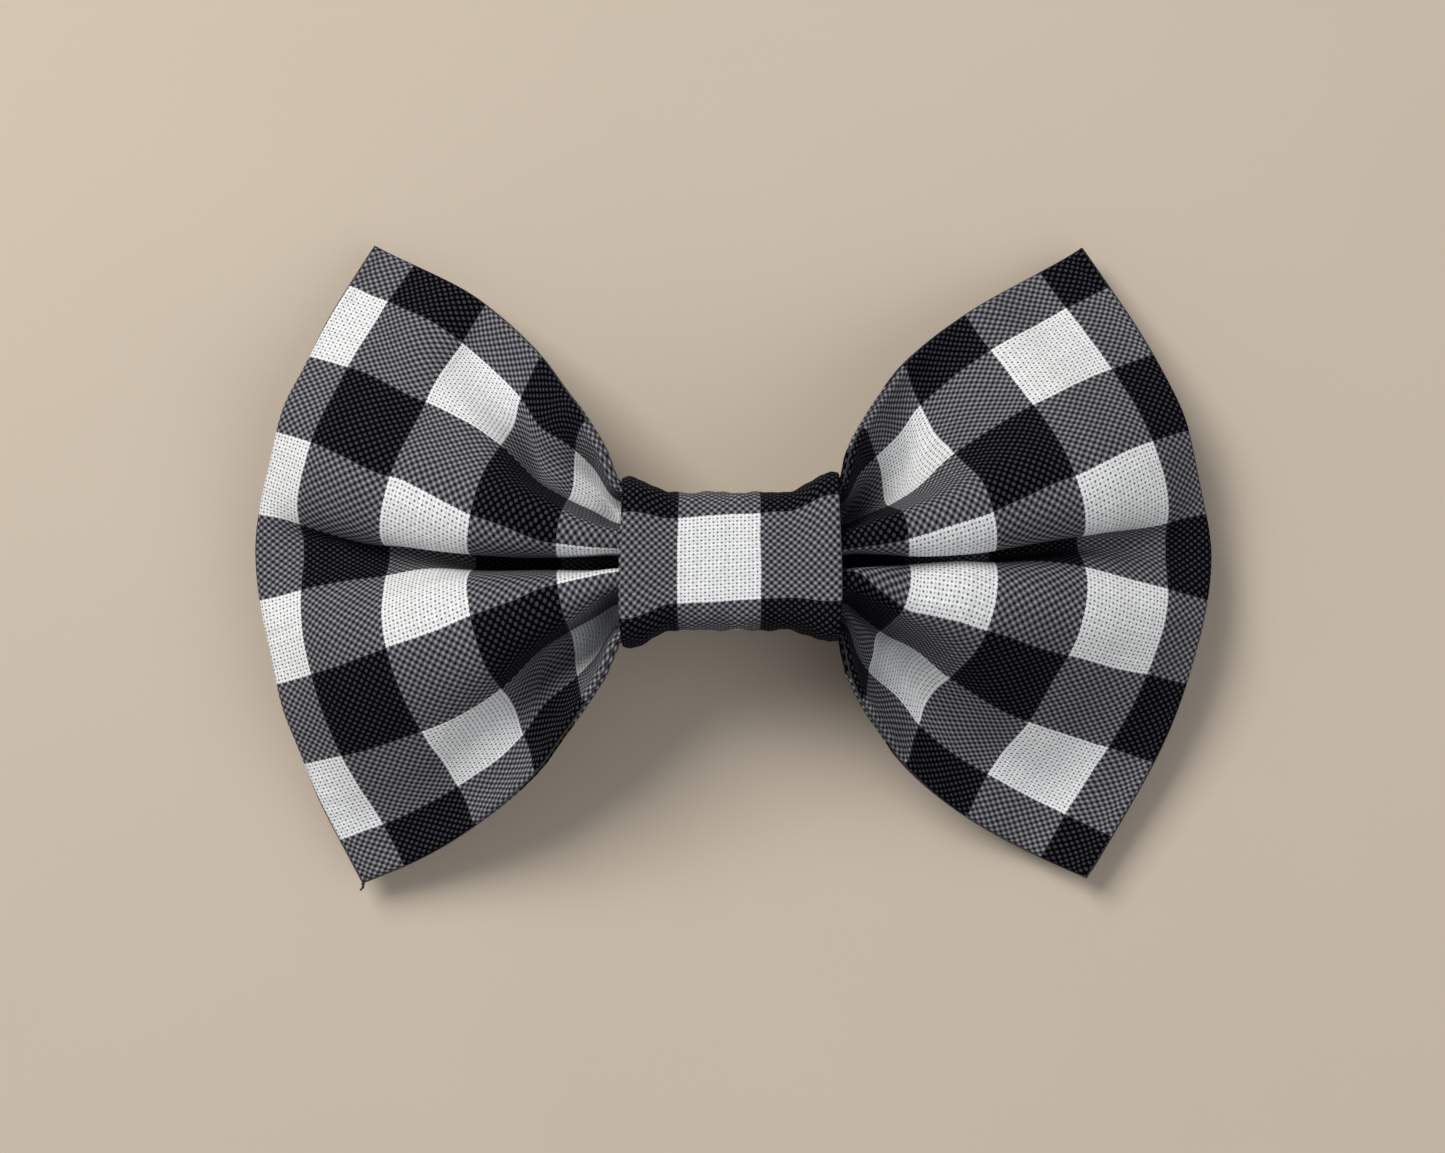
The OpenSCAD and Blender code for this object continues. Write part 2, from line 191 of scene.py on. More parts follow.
# ---------------------------------------------------------------- materials
class Nodes:
    """A short way to write node maths."""

    def __init__(self, name):
        self.mat = bpy.data.materials.new(name)
        self.mat.use_nodes = True
        self.tree = self.mat.node_tree
        self.bsdf = self.tree.nodes["Principled BSDF"]

    def new(self, kind, **props):
        n = self.tree.nodes.new(kind)
        for k, v in props.items():
            setattr(n, k, v)
        return n

    def put(self, socket, value):
        if isinstance(value, bpy.types.NodeSocket):
            self.tree.links.new(value, socket)
        else:
            socket.default_value = value

    def m(self, op, *args, clamp=False):
        n = self.new("ShaderNodeMath", operation=op, use_clamp=clamp)
        for i, a in enumerate(args):
            self.put(n.inputs[i], a)
        return n.outputs[0]

    def add(self, a, b):
        return self.m("ADD", a, b)

    def sub(self, a, b, clamp=False):
        return self.m("SUBTRACT", a, b, clamp=clamp)

    def mul(self, a, b):
        return self.m("MULTIPLY", a, b)

    def mix(self, f, a, b):
        n = self.new("ShaderNodeMix", data_type="FLOAT")
        for i, v in ((0, f), (2, a), (3, b)):
            self.put(n.inputs[i], v)
        return n.outputs[0]

    def rgb(self, f, a, b):
        n = self.new("ShaderNodeMix", data_type="RGBA")
        for i, v in ((0, f), (6, a), (7, b)):
            self.put(n.inputs[i], v)
        return n.outputs[2]

    def noise(self, vec, scale, detail=2.0, rough=0.5):
        n = self.new("ShaderNodeTexNoise")
        self.put(n.inputs["Vector"], vec)
        n.inputs["Scale"].default_value = scale
        n.inputs["Detail"].default_value = detail
        n.inputs["Roughness"].default_value = rough
        return n.outputs[0]

    def white(self, w):
        n = self.new("ShaderNodeTexWhiteNoise", noise_dimensions="1D")
        self.put(n.inputs["W"], w)
        return n.outputs[0]

    def ramp(self, v, start, end):
        """0 before start, 1 after end, smooth between."""
        n = self.new("ShaderNodeMapRange", interpolation_type="SMOOTHSTEP")
        for i, x in enumerate((v, start, end)):
            self.put(n.inputs[i], x)
        return n.outputs[0]

    def xyz(self, x, y, z=0.0):
        n = self.new("ShaderNodeCombineXYZ")
        for i, v in enumerate((x, y, z)):
            self.put(n.inputs[i], v)
        return n.outputs[0]

    def split(self, v):
        n = self.new("ShaderNodeSeparateXYZ")
        self.put(n.inputs[0], v)
        return n.outputs

    def bump(self, height, strength, distance):
        n = self.new("ShaderNodeBump")
        n.inputs["Strength"].default_value = strength
        n.inputs["Distance"].default_value = distance
        self.put(n.inputs["Height"], height)
        return n.outputs[0]

    def place(self):
        """Where the point is on the object, in metres."""
        return self.new("ShaderNodeTexCoord").outputs["Object"]

    def cloth(self):
        """Where the point is on the flat cloth, in mm."""
        return self.split(self.new("ShaderNodeUVMap", uv_map="cloth").outputs[0])

    def set(self, **kw):
        for k, v in kw.items():
            self.put(self.bsdf.inputs[k.replace("_", " ")], v)
        return self.mat


# Colours of the cloth (linear light): the yarn itself, and the gaps round it; in the white checks the gap
# colour is painted shade
WHITE_YARN, WHITE_HOLE_SHADE = (0.90, 0.905, 0.905, 1), (0.13, 0.138, 0.148, 1)
# in the mixed checks the white yarn is painted darker than in the white checks, partly as painted shade
# from the black yarn round it and partly for its small floats blending into grey
MIXED_LIGHT, MIXED_DARK = (0.43, 0.425, 0.45, 1), (0.001, 0.001, 0.002, 1)
MIXED_GAP = (0.108, 0.105, 0.118, 1)
BLACK_YARN, BLACK_SHEEN = (0.001, 0.001, 0.002, 1), (0.054, 0.054, 0.066, 1)
WANDER = 0.34                          # how far a yarn strays from straight, mm
YARN_TONE, FUZZ_TONE, SLUB_TONE = 0.14, 0.34, 0.18     # how much each varies the colour
SPOT_SIZE = 0.88                       # the round top of a float; smaller is wider
DASH_ACROSS, DASH_ALONG = 1.15, 0.85   # the white float's dot is longer than it is wide
HOLE_FROM, HOLE_TO, HALF_HOLE = 0.16, 0.62, 0.50       # painted shade in the holes between four white yarns
CLOTH_SHEEN, SHEEN_ROUGH, CLOTH_GLOSS = 0.004, 0.45, 0.02


def gingham(name, check_u, check_v, ends, picks, shift=(0.0, 0.0)):
    """Plain-woven gingham from cloth coordinates: each yarn has its own colour,
    crosses over and under, and the checks come out of which yarn is on top."""
    k = Nodes(name)
    x, y, _ = k.cloth()
    wander_x = k.mul(k.sub(k.noise(k.xyz(x, y), 0.22, 3.0), 0.5), WANDER)
    wander_y = k.mul(k.sub(k.noise(k.xyz(y, x, 7.0), 0.22, 3.0), 0.5), WANDER)
    x = k.add(k.add(x, wander_x), shift[0])
    y = k.add(k.add(y, wander_y), shift[1])
    s, t = k.mul(x, ends / check_u), k.mul(y, picks / check_v)
    end, pick = k.m("FLOOR", s), k.m("FLOOR", t)
    # distance from the middle of the lengthwise and of the crosswise yarn, 0 to 1
    a = k.m("ABSOLUTE", k.sub(k.mul(k.m("FRACT", s), 2.0), 1.0))
    b = k.m("ABSOLUTE", k.sub(k.mul(k.m("FRACT", t), 2.0), 1.0))
    over = k.m("FLOORED_MODULO", k.add(end, pick), 2.0)        # 1: the crosswise yarn is on top
    across, along = k.mix(over, b, a), k.mix(over, a, b)
    # a round yarn that dives under its neighbours at both ends of each float
    body = k.m("SQRT", k.sub(1.0, k.mul(k.m("POWER", across, 2.0), 0.90), clamp=True))
    height = k.mul(body, k.sub(1.0, k.mul(k.m("POWER", along, 2.2), 0.70)))
    # which band each yarn belongs to, and so what colour it was dyed
    band_u = k.m("FLOOR", k.m("DIVIDE", k.add(end, 0.5), float(ends)))
    band_v = k.m("FLOOR", k.add(k.m("DIVIDE", k.add(pick, 0.5), float(picks)), 0.5))
    col_white = k.sub(1.0, k.m("FLOORED_MODULO", band_u, 2.0))
    row_white = k.m("FLOORED_MODULO", band_v, 2.0)
    both = k.mul(col_white, row_white)
    either = k.sub(k.add(col_white, row_white), k.mul(both, 2.0))
    top = k.mix(over, row_white, col_white)
    # yarn by yarn differences, slubs and fuzz
    yarn = k.mix(over, k.white(k.add(pick, 311.0)), k.white(end))
    fuzz = k.noise(k.xyz(k.mul(x, 3.0), k.mul(y, 3.0)), 2.6, 3.0, 0.7)
    slub = k.noise(k.xyz(k.mul(x, 0.9), k.mul(y, 0.9), 3.0), 1.0, 2.0)
    tone = k.add(k.add(1.0 - YARN_TONE, k.mul(yarn, YARN_TONE)),
                 k.add(k.mul(k.sub(fuzz, 0.5), FUZZ_TONE), k.mul(k.sub(slub, 0.5), SLUB_TONE)))
    # one float seen from above is a round spot, brightest or darkest in its middle
    r = k.m("SQRT", k.add(k.m("POWER", a, 2.0), k.m("POWER", b, 2.0)))
    spot = k.sub(1.0, k.m("POWER", k.mul(r, SPOT_SIZE), 2.0), clamp=True)
    oval = k.m("SQRT", k.add(k.m("POWER", k.mul(across, DASH_ACROSS), 2.0),
                             k.m("POWER", k.mul(along, DASH_ALONG), 2.0)))
    dash = k.sub(1.0, oval, clamp=True)
    # white checks: white, with painted shade in the small holes where four yarns meet
    odd_hole = k.m("FLOORED_MODULO", k.add(k.m("ROUND", s), k.m("ROUND", t)), 2.0)
    hole_shade = k.mul(k.ramp(k.mul(a, b), HOLE_FROM, HOLE_TO), k.mix(odd_hole, HALF_HOLE, 1.0))
    white = k.rgb(hole_shade, WHITE_YARN, WHITE_HOLE_SHADE)
    # mixed checks: the white yarn's floats show as grey dots between black ones; their colour is partly
    # painted shade from the black yarn round them
    mixed = k.rgb(top, k.rgb(spot, MIXED_GAP, MIXED_DARK), k.rgb(dash, MIXED_GAP, MIXED_LIGHT))
    # black checks: the crosswise floats catch a little more light
    black = k.rgb(k.mul(spot, over), BLACK_YARN, BLACK_SHEEN)
    dyed = k.new("ShaderNodeVectorMath", operation="SCALE")
    k.put(dyed.inputs[0], k.rgb(either, k.rgb(both, black, white), mixed))
    k.put(dyed.inputs["Scale"], tone)
    relief = k.add(height, k.mul(fuzz, 0.35))
    k.set(Base_Color=dyed.outputs[0], Roughness=k.add(0.78, k.mul(fuzz, 0.18)),
          Normal=k.bump(relief, 0.50, 0.00008), Sheen_Weight=CLOTH_SHEEN,
          Sheen_Roughness=SHEEN_ROUGH, Specular_IOR_Level=CLOTH_GLOSS)
    return k.mat


def felt(name, colour, scale=1400.0, var=0.16):
    """Bonded fleece, glue or paper-like stiffener: tangled fibres."""
    k = Nodes(name)
    f = k.noise(k.place(), scale, 5.0, 0.7)
    c = k.rgb(k.ramp(f, 0.3, 0.7), tuple(c * (1 - var) for c in colour) + (1,), colour + (1,))
    return k.set(Base_Color=c, Roughness=k.add(0.75, k.mul(f, 0.2)), Normal=k.bump(f, 0.6, 0.00015))


def metal(name, colour, rough=0.26, brush=(60.0, 2600.0, 2600.0)):
    """Nickel-plated metal: drawn grain, small scuffs, duller patches. The grain is
    fine where brush is large, so by default it runs along X."""
    k = Nodes(name)
    p = k.place()
    drawn = k.new("ShaderNodeMapping")
    k.put(drawn.inputs["Vector"], p)
    drawn.inputs["Scale"].default_value = brush
    g = k.noise(drawn.outputs[0], 1.0, 4.0, 0.6)
    patch = k.ramp(k.noise(p, 160.0, 3.0, 0.55), 0.35, 0.7)
    scuff = k.ramp(k.noise(p, 900.0, 6.0, 0.75), 0.62, 0.70)
    c = k.rgb(patch, tuple(v * 0.86 for v in colour) + (1,), colour + (1,))
    c = k.rgb(k.mul(scuff, 0.25), c, (0.45, 0.44, 0.42, 1))
    r = k.add(k.add(rough, k.mul(g, 0.14)), k.mul(scuff, 0.15))
    return k.set(Base_Color=c, Roughness=r, Normal=k.bump(g, 0.12, 0.00004), Metallic=1.0)


def thread(name, colour, pitch=0.5, along_uv=True):
    """Spun thread: plies laid round the cord, with loose fibres. A CAD thread has
    no cloth coordinates, so its plies are bands across it instead."""
    k = Nodes(name)
    p = k.place()
    if along_uv:
        x, y, _ = k.cloth()
        ply = k.m("SINE", k.add(k.mul(x, 2 * math.pi / pitch), k.mul(y, 4 * math.pi)))
    else:
        w = k.new("ShaderNodeTexWave", wave_type="BANDS", bands_direction="DIAGONAL")
        k.put(w.inputs["Vector"], p)
        w.inputs["Scale"].default_value = 300.0 / pitch
        w.inputs["Distortion"].default_value = 1.5
        ply = w.outputs[1]
    f = k.noise(p, 5200.0, 4.0, 0.7)
    h = k.add(k.mul(ply, 0.5), f)
    # painted shade: the colour darkens in the grooves between the plies; the fibre noise varies the tone at
    # random
    c = k.rgb(k.ramp(h, -0.1, 1.2), tuple(v * 0.55 for v in colour) + (1,), colour + (1,))
    return k.set(Base_Color=c, Roughness=k.add(0.6, k.mul(f, 0.3)),
                 Normal=k.bump(h, 0.7, 0.00006), Sheen_Weight=0.15)


RIB, WARP = 0.00062, 0.00024           # spacing of the ribbon's ribs and lengthwise yarns, m


def grosgrain(name):
    """Black ribbed ribbon: ribs across its length, fine warp along it."""
    k = Nodes(name)
    p = k.place()
    x, y, z = k.split(p)
    rib = k.m("ABSOLUTE", k.m("SINE", k.mul(k.add(x, k.mul(z, 0.35)), math.pi / RIB)))
    warp = k.m("ABSOLUTE", k.m("SINE", k.mul(y, math.pi / WARP)))
    f = k.noise(p, 4200.0, 3.0, 0.6)
    h = k.add(k.mul(rib, 0.8), k.add(k.mul(warp, 0.15), k.mul(f, 0.15)))
    # painted shade: darker in the grooves between the ribs and yarns, lighter on their tops; the fibre
    # noise varies the tone at random
    c = k.rgb(k.ramp(h, 0.1, 1.0), (0.006, 0.006, 0.008, 1), (0.030, 0.030, 0.035, 1))
    return k.set(Base_Color=c, Roughness=k.add(0.45, k.mul(f, 0.2)),
                 Normal=k.bump(h, 0.8, 0.00012), Sheen_Weight=0.2)


WRAP_CHECK_U, WRAP_CHECK_V = 8.9, 9.25
panel_cloth = gingham("panel_gingham", CHECK, CHECK, 22, 24)
panel_back_cloth = gingham("back_gingham", CHECK, CHECK, 22, 24, shift=(3.1, -2.2))
wrap_cloth = gingham("wrap_gingham", WRAP_CHECK_U, WRAP_CHECK_V, 21, 25)

# ------------------------------------------------- the pleated cloth's shape
# Stations along the bow (cloth distance from the knot's centre) and, at each, the
# centre crease's height, its place on the cloth and its sideways lean. Inside the
# knot the crease is squeezed shut and leans, so nothing shows through it.
STATIONS = [0, 6, 12.5, 16, 20.5, 24.5, 28.5, 38, 47.6, 52.8]
CREASE = dict(z=[9.6, 9.6, 9.9, 10.4, 10.9, 11, 10.7, 9.2, 7.4, 6.4],
              v=[0, 0, 0, 0, 0.3, 0.5, 0.7, 1, 1, 1],
              y=[-0.9, -0.75, 0, 0.2, 0.5, 0.8, 1.2, 2.0, 2.2, 1.9])
# One quarter of the bow: slope of the flank beside the crease (a1, degrees) and
# how fast it rises (w0), where and how widely the lobe turns over (v1, w1), the
# outer valley (v2, w2), slope of the rim (a3) and how far out the rim stands (yr,
# which has to be within the cloth's reach). The pleats fan out by fan at the rim,
# as fast as reach and bend say.
UPPER_LEFT = dict(
    s=1, fan=13.3, reach=21, bend=1.4,
    a1=[90.6, 90.6, 90.5, 92.5, 95, 97, 99, 97, 64, 28],
    w0=[0.8, 0.9, 2.2, 2.2, 2.2, 2.2, 2.2, 2.4, 4, 8],
    v1=[14.9, 14.9, 14.9, 15, 15.2, 14.6, 13.8, 11, 10, 13],
    w1=[3, 3, 3.2, 4.5, 7, 9, 11, 16, 20, 24],
    v2=[28, 28, 28, 28, 28, 28.5, 29.5, 31, 33, 35],
    w2=[3, 3, 4, 7, 9, 9, 8, 8, 8, 8],
    a3=[88, 87, 82, 68, 46, 16, -6, -20, -22, -8],
    yr=[5.7, 5.9, 7.7, 12.8, 17.4, 20.4, 23.6, 29.2, 34.2, 36.3])
UPPER_RIGHT = dict(
    UPPER_LEFT, fan=13.5, reach=12.5, bend=1.15,
    a1=[90.6, 90.6, 90.5, 92, 97, 101, 104.5, 99, 62, 24],
    w0=[0.8, 0.9, 2.2, 2.4, 2.8, 3.2, 3.6, 4.2, 5, 10],
    v1=[14.9, 14.9, 14.9, 14.9, 14.6, 14.2, 13.6, 11.8, 10, 13],
    w1=[3, 3, 3.2, 5, 8, 10, 12, 14, 17, 24],
    yr=[5.7, 5.9, 7.7, 12.0, 15.9, 19.1, 22.4, 27.6, 33.4, 36.1])
LOWER_LEFT = dict(
    UPPER_LEFT, s=-1, fan=11.6, reach=18, bend=1.4,
    a1=[90.6, 90.6, 90.5, 89, 87, 84, 79, 58, 27, 8],
    w0=[0.8, 0.9, 2.2, 2.6, 3, 3.5, 4, 5, 6, 8],
    v1=[14.9, 14.9, 14.9, 15.2, 15.4, 15.2, 15, 14.5, 14, 15],
    w1=[3, 3, 3.4, 5, 8, 11, 14, 18, 22, 24],
    a3=[88, 87, 82, 68, 48, 20, 0, -8, -6, 2],
    yr=[5.7, 5.9, 7.7, 12.8, 17.6, 21, 24.4, 29.3, 33.8, 35.5])
LOWER_RIGHT = dict(
    LOWER_LEFT, fan=13.4, reach=12.5, bend=1.15,
    a1=[90.6, 90.6, 90.5, 90.5, 90, 88, 84, 70, 36, 12],
    w0=[0.8, 0.9, 2.2, 2.2, 2.2, 2.2, 2.6, 3, 3.5, 4],
    v1=[14.9, 14.9, 14.9, 13.6, 12, 12, 11.6, 8.4, 6.5, 6.5],
    w1=[3, 3, 3.4, 6, 10, 11, 12, 13, 13, 14],
    a3=[88, 87, 82, 68, 48, 22, 2, -4, -4, 0],
    yr=[5.7, 5.9, 7.7, 12.4, 17, 20, 23.2, 28.5, 32.9, 34.7])
FAN_START, FAN_POW = 11.5, 1.85        # where the fan begins, and how it grows to the rim
WALK = 160                             # steps from crease to rim
LEAST_FLANK, MOST_FLANK = 2.0, 100.0   # slopes tried for the outer flank, degrees


def quarter(Q, p):
    """Walk one side of each station along the cloth, crease to rim, at equal steps."""
    K = {k: pchip(STATIONS, Q[k], p)[:, None] for k in ("a1", "w0", "v1", "w1", "v2", "w2", "a3", "yr")}
    past = np.clip(p - FAN_START, 0, None) / Q["reach"]
    D = Q["fan"] * (1 - np.exp(-past ** Q["bend"]))[:, None]
    q = np.linspace(0, 1, WALK)[None, :]
    vc = pchip(STATIONS, CREASE["v"], p)[:, None] * Q["s"]
    v = vc + q * (HALF_H - vc)
    dv = (HALF_H - vc) / (WALK - 1)
    g = D * FAN_POW * np.clip(v / HALF_H, 0, 1) ** (FAN_POW - 1) / HALF_H
    sc = np.sqrt(np.clip(1 - g * g, 0.05, 1))
    s0 = smooth(q * (HALF_H - vc) / K["w0"])
    s1 = smooth((v - K["v1"]) / K["w1"] + 0.5)
    s2 = smooth((v - K["v2"]) / K["w2"] + 0.5)
    yc = pchip(STATIONS, CREASE["y"], p)[:, None] * Q["s"]

    def walked(a):
        steps = (a[:, 1:] + a[:, :-1]) / 2 * dv
        return np.concatenate([np.zeros((len(p), 1)), np.cumsum(steps, axis=1)], axis=1)

    lo, hi = np.full((len(p), 1), LEAST_FLANK), np.full((len(p), 1), MOST_FLANK)
    for _ in range(26):   # the outer flank takes up whatever cloth is left
        a2 = (lo + hi) / 2
        th = np.radians(K["a1"] * s0 * (1 - s1) - a2 * s1 * (1 - s2) + K["a3"] * s2)
        wide = (yc + walked(np.cos(th) * sc))[:, -1:] > K["yr"]
        lo, hi = np.where(wide, a2, lo), np.where(wide, hi, a2)
    Y = (yc + walked(np.cos(th) * sc)) * Q["s"]
    Z = walked(np.sin(th) * sc)
    X = p[:, None] - D * np.clip(v / HALF_H, 0, 1) ** FAN_POW
    return v * Q["s"], X, Y, Z


NU, NV = 118, 88                       # cells of the simulated cloth
LEAD, SETTLE = 14, 40                  # frames that fold the cloth, and all frames
GOAL, PIN = 0.35, 0.5                  # how firmly the folds are held outside the knot
HELD, EASES = 11.2, 8.0                # half length held fully, and how far that eases off
CAP = 6.0                              # the most that a point may stray from the folds
FINEST, BROAD = 3.0, 14.0              # spans in cells: the padding bridges what is finer,
KEPT = 0.3                             # the maker's tacking holds back what is broader
SOLVER_SCALE = 0.02                    # 1 mm of bow is 20 mm in the solver
FLAT_Z = 12.0                          # height at which the flat cut starts
gu, gv = np.linspace(-HALF_L, HALF_L, NU + 1), np.linspace(-HALF_H, HALF_H, NV + 1)


def folded():
    """Mid surface of the sewn pair on the regular cloth grid."""
    P = np.zeros((NU + 1, NV + 1, 3))
    for sx, upper, lower in ((-1, UPPER_LEFT, LOWER_LEFT), (1, UPPER_RIGHT, LOWER_RIGHT)):
        sel = np.where(gu * sx >= -1e-9)[0]
        p = np.abs(gu[sel])
        up, dn = quarter(upper, p), quarter(lower, p)
        zc = pchip(STATIONS, CREASE["z"], p)
        for r, i in enumerate(sel):
            v = np.concatenate([dn[0][r][::-1], up[0][r][1:]])
            for c, sign in enumerate((sx, 1, 1)):
                w = np.concatenate([dn[c + 1][r][::-1], up[c + 1][r][1:]]) * sign
                P[i, :, c] = np.interp(gv, v, w)
            P[i, :, 2] += zc[r]
    return P


def blur(g, sigma):
    """Soften a grid of vectors over sigma cells, edges held by mirroring."""
    n = int(3 * sigma)
    w = np.exp(-0.5 * (np.arange(-n, n + 1) / sigma) ** 2)
    w /= w.sum()
    for axis in (0, 1):
        sides = [(n, n) if a == axis else (0, 0) for a in range(3)]
        pad = np.pad(g, sides, mode="reflect", reflect_type="odd")
        g = sum(w[i] * np.take(pad, np.arange(i, i + g.shape[axis]), axis) for i in range(2 * n + 1))
    return g


def relax(P):
    """Blender's cloth solver takes the flat cut into the pleats and lets it settle:
    the knot holds it fully, the rest is only led towards the folds."""
    # the flat cut, eased along the bow where the padding fills it out
    cell = gu[1] - gu[0]
    seg = np.linalg.norm(np.diff(P, axis=0), axis=2) / cell
    ease = np.clip(np.median(seg, axis=1), 1.0, 1.10)
    U = np.concatenate([[0], np.cumsum(ease * cell)])
    U -= U[NU // 2]
    flat = np.stack([*np.meshgrid(U, gv, indexing="ij"), np.full(P.shape[:2], FLAT_Z)], -1)
    me = bpy.data.meshes.new("solver_cloth")
    me.from_pydata((flat.reshape(-1, 3) * SOLVER_SCALE).tolist(), [], grid_faces(NU + 1, NV + 1))
    me.update()
    ob = bpy.data.objects.new("solver_cloth", me)
    bpy.context.scene.collection.objects.link(ob)
    ob.shape_key_add(name="Basis")
    key = ob.shape_key_add(name="folded")
    key.data.foreach_set("co", (P * SOLVER_SCALE).reshape(-1, 3).astype(np.float32).ravel())
    for frame_no, value in ((1, 0.0), (LEAD, 1.0)):
        key.value = value
        key.keyframe_insert("value", frame=frame_no)
    hold = ob.vertex_groups.new(name="hold")
    held = np.round(1.0 - smooth((np.abs(gu) - HELD) / EASES) * (1 - GOAL), 3)
    for level in np.unique(held):
        rows = np.where(held == level)[0]
        points = (rows[:, None] * (NV + 1) + np.arange(NV + 1)).ravel()
        hold.add(points.tolist(), float(level), "REPLACE")
    mod = ob.modifiers.new("Cloth", "CLOTH")
    cs = mod.settings
    cs.quality = 8
    cs.mass = 0.15
    cs.air_damping = 8.0
    cs.tension_stiffness = cs.compression_stiffness = 40.0
    cs.shear_stiffness = 10.0
    cs.bending_stiffness = 30.0
    cs.vertex_group_mass = "hold"
    cs.pin_stiffness = PIN
    cs.effector_weights.gravity = 0.0
    mod.collision_settings.use_collision = False
    mod.point_cache.frame_start, mod.point_cache.frame_end = 1, SETTLE
    for f in range(1, SETTLE + 1):
        bpy.context.scene.frame_set(f)
    settled = ob.evaluated_get(bpy.context.evaluated_depsgraph_get()).data
    out = np.empty(len(settled.vertices) * 3, np.float32)
    settled.vertices.foreach_get("co", out)
    bpy.context.scene.frame_set(1)
    folding = me.shape_keys.animation_data.action
    bpy.data.objects.remove(ob)
    bpy.data.meshes.remove(me)
    bpy.data.actions.remove(folding)
    Q = out.reshape(P.shape).astype(float) / SOLVER_SCALE
    move = blur(Q - P, FINEST) - (1 - KEPT) * blur(Q - P, BROAD)
    d = np.linalg.norm(move, axis=-1, keepdims=True)
    print("cloth settled: mean move %.2f mm, most %.2f mm" % (d.mean(), d.max()))
    return P + move * np.minimum(1, CAP / np.maximum(d, 1e-9))


mid = folded()
mid = relax(mid)


def spread(half, cell, edge):
    """Even steps of about cell from -half to half, closer near both ends as edge says."""
    inner = half - edge[-1]
    n = int(round(2 * inner / cell))
    near = np.array(edge[:-1])
    return np.concatenate([-half + near, np.linspace(-inner, inner, n + 1), half - near[::-1]])


# fine grid, dense along the sewn edges where the cloth rolls over
PANEL_EDGE = (0, 0.05, 0.12, 0.22, 0.36, 0.54, 0.78, 1.1, 1.5)
fu, fv = spread(HALF_L, 0.50, PANEL_EDGE), spread(HALF_H, 0.46, PANEL_EDGE)
fine = cubic(cubic(mid, (fu + HALF_L) / (2 * HALF_L) * NU, 0), (fv + HALF_H) / (2 * HALF_H) * NV, 1)
fnor = normals(fine)
UU, VV = np.meshgrid(fu, fv, indexing="ij")
# distance from the sewn edge, with corners turned a little round
CORNER = 1.2
ex, ey = HALF_L - np.abs(UU), HALF_H - np.abs(VV)
round_corner = np.maximum(0, CORNER - np.hypot(CORNER - ex, CORNER - ey))
edge = np.where((ex < CORNER) & (ey < CORNER), round_corner, np.minimum(ex, ey))

ROLL, EDGE_T = 0.62, 0.60              # radius and half thickness of the turned edge
KNOT_GAP, LOOP_GAP = 0.12, 0.62        # half distance inside the knot, and what the loops add


def half_gap(u, e):
    """Half distance between the panels' inner faces."""
    body = KNOT_GAP + LOOP_GAP * smooth((np.abs(u) - 12.5) / 14)
    allow = EDGE_T - FABRIC             # seam allowances lie inside the edge
    return allow + (body - allow) * smooth((e - 2.5) / 5)


def roll(e):
    return np.sqrt(np.clip(1 - (1 - np.clip(e / ROLL, 0, 1)) ** 2, 0, 1))


SEAM_PUCKER, END_PUCKER, GATHER = 0.045, 0.035, 0.06   # heights
SQUEEZED = 0.72                        # share of the thickness left inside the knot
outside_knot = smooth((np.abs(UU) - 9) / 6)
# tiny puckers along the seam and soft gathers that run out of the knot
along_seam = np.sin(UU * 2.9 + 1.3 * np.sin(VV * 0.7)) * np.exp(-((ey - 1.6) / 1.6) ** 2)
along_end = np.sin(VV * 3.1 + 1.7 * np.sin(UU * 0.6)) * np.exp(-((ex - 1.4) / 1.5) ** 2)
from_knot = np.sin(VV * 1.25 + 0.9 * np.sin(VV * 0.37 + 1.0)) * np.exp(-((np.abs(UU) - 13) / 9) ** 2)
relief = SEAM_PUCKER * along_seam * outside_knot + END_PUCKER * along_end
relief = relief + GATHER * from_knot * smooth(edge / 3)
lift = (half_gap(UU, edge) + FABRIC) * (SQUEEZED + (1 - SQUEEZED) * outside_knot)
outer = (lift + relief) * roll(edge) + 0.02
inner = np.maximum(outer - FABRIC, 0.008 + 0.5 * outer * np.exp(-edge))
inner = np.minimum(inner, outer - 0.012)


def round_edge(w, half):
    """Cloth coordinate that runs on round the turned edge."""
    e = half - np.abs(w)
    arc = ROLL * (np.arccos(np.clip(1 - e / ROLL, -1, 1)) - math.pi / 2 + 1)
    return np.sign(w) * (half - np.where(e < ROLL, arc, e))


cloth_uv = np.stack([round_edge(UU, HALF_L), round_edge(VV, HALF_H)], -1).reshape(-1, 2)
both_uv = np.concatenate([cloth_uv, cloth_uv])
pts, faces = closed_skin(fine + fnor * outer[..., None], fine + fnor * inner[..., None])
front = mesh_object("front_panel_cloth", pts, faces, both_uv, panel_cloth)
pts, faces = closed_skin(fine - fnor * inner[..., None], fine - fnor * outer[..., None])
back = mesh_object("back_panel_cloth", pts, faces, both_uv, panel_back_cloth)
for panel, node, slot in ((front, "front_panel", "gingham_front"), (back, "back_panel", "gingham_back")):
    dress(panel, node)

# padding between the panels, short of the seam allowance
ALLOWANCE = 3.2
keep_u = np.where(np.abs(fu) < HALF_L - ALLOWANCE)[0][::3]
keep_v = np.where(np.abs(fv) < HALF_H - ALLOWANCE)[0][::2]
sub = np.ix_(keep_u, keep_v)
pad_t = fnor[sub] * np.clip(inner[sub] - 0.05, 0.03, None)[..., None]
pts, faces = closed_skin(fine[sub] + pad_t, fine[sub] - pad_t)
pad = mesh_object("fleece_padding", pts, faces, None, felt("bonded_fleece", (0.86, 0.86, 0.83)))
dress(pad, "interlining")

